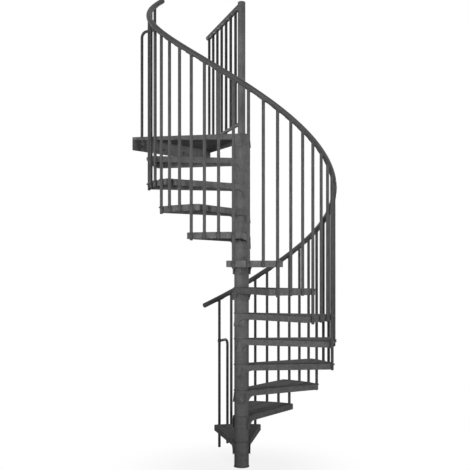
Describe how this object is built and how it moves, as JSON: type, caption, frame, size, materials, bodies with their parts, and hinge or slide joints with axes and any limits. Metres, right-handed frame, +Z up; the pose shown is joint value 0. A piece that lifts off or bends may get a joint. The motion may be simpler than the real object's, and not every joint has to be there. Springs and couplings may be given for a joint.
{
  "type": "spiral staircase",
  "caption": "Grey steel spiral staircase of folded sheet treads round a centre pole, with round balusters, a helical handrail and a corner landing with a guard.",
  "frame": {"origin": "middle of the base plate's underside, on the lower floor, on the column's axis", "axes": "+Z up along the column; +Y to the back, so that the flight starts at the back and climbs clockwise, seen from above, through the right (+X) and the front (-Y) to the landing at the back left"},
  "size_m": [1.7451, 1.8395, 4.0751],
  "materials": {
    "tread_paint": "anthracite powder coat, satin, fine speckle",
    "column_paint": "anthracite powder coat, satin",
    "baluster_paint": "anthracite powder coat, satin",
    "handrail_finish": "anthracite coating, soft satin"
  },
  "bodies": {
    "root": {"base_plate": "column_paint", "centre_pole": "column_paint", "pole_cap": "column_paint", "column_spacers": "column_paint", "tread_01": "tread_paint", "tread_02": "tread_paint", "tread_03": "tread_paint", "tread_04": "tread_paint", "tread_05": "tread_paint", "tread_06": "tread_paint", "tread_07": "tread_paint", "tread_08": "tread_paint", "tread_09": "tread_paint", "tread_10": "tread_paint", "tread_11": "tread_paint", "tread_12": "tread_paint", "landing": "tread_paint", "landing_fixing_plate": "tread_paint", "first_baluster": "baluster_paint", "balusters_01": "baluster_paint", "balusters_02": "baluster_paint", "balusters_03": "baluster_paint", "balusters_04": "baluster_paint", "balusters_05": "baluster_paint", "balusters_06": "baluster_paint", "balusters_07": "baluster_paint", "balusters_08": "baluster_paint", "balusters_09": "baluster_paint", "balusters_10": "baluster_paint", "balusters_11": "baluster_paint", "balusters_12": "baluster_paint", "handrail": "handrail_finish", "guard_rail": "handrail_finish", "guard_lower_bar": "baluster_paint", "guard_balusters": "baluster_paint", "lower_stay": "baluster_paint", "upper_stay": "baluster_paint"}
  },
  "joints": []
}
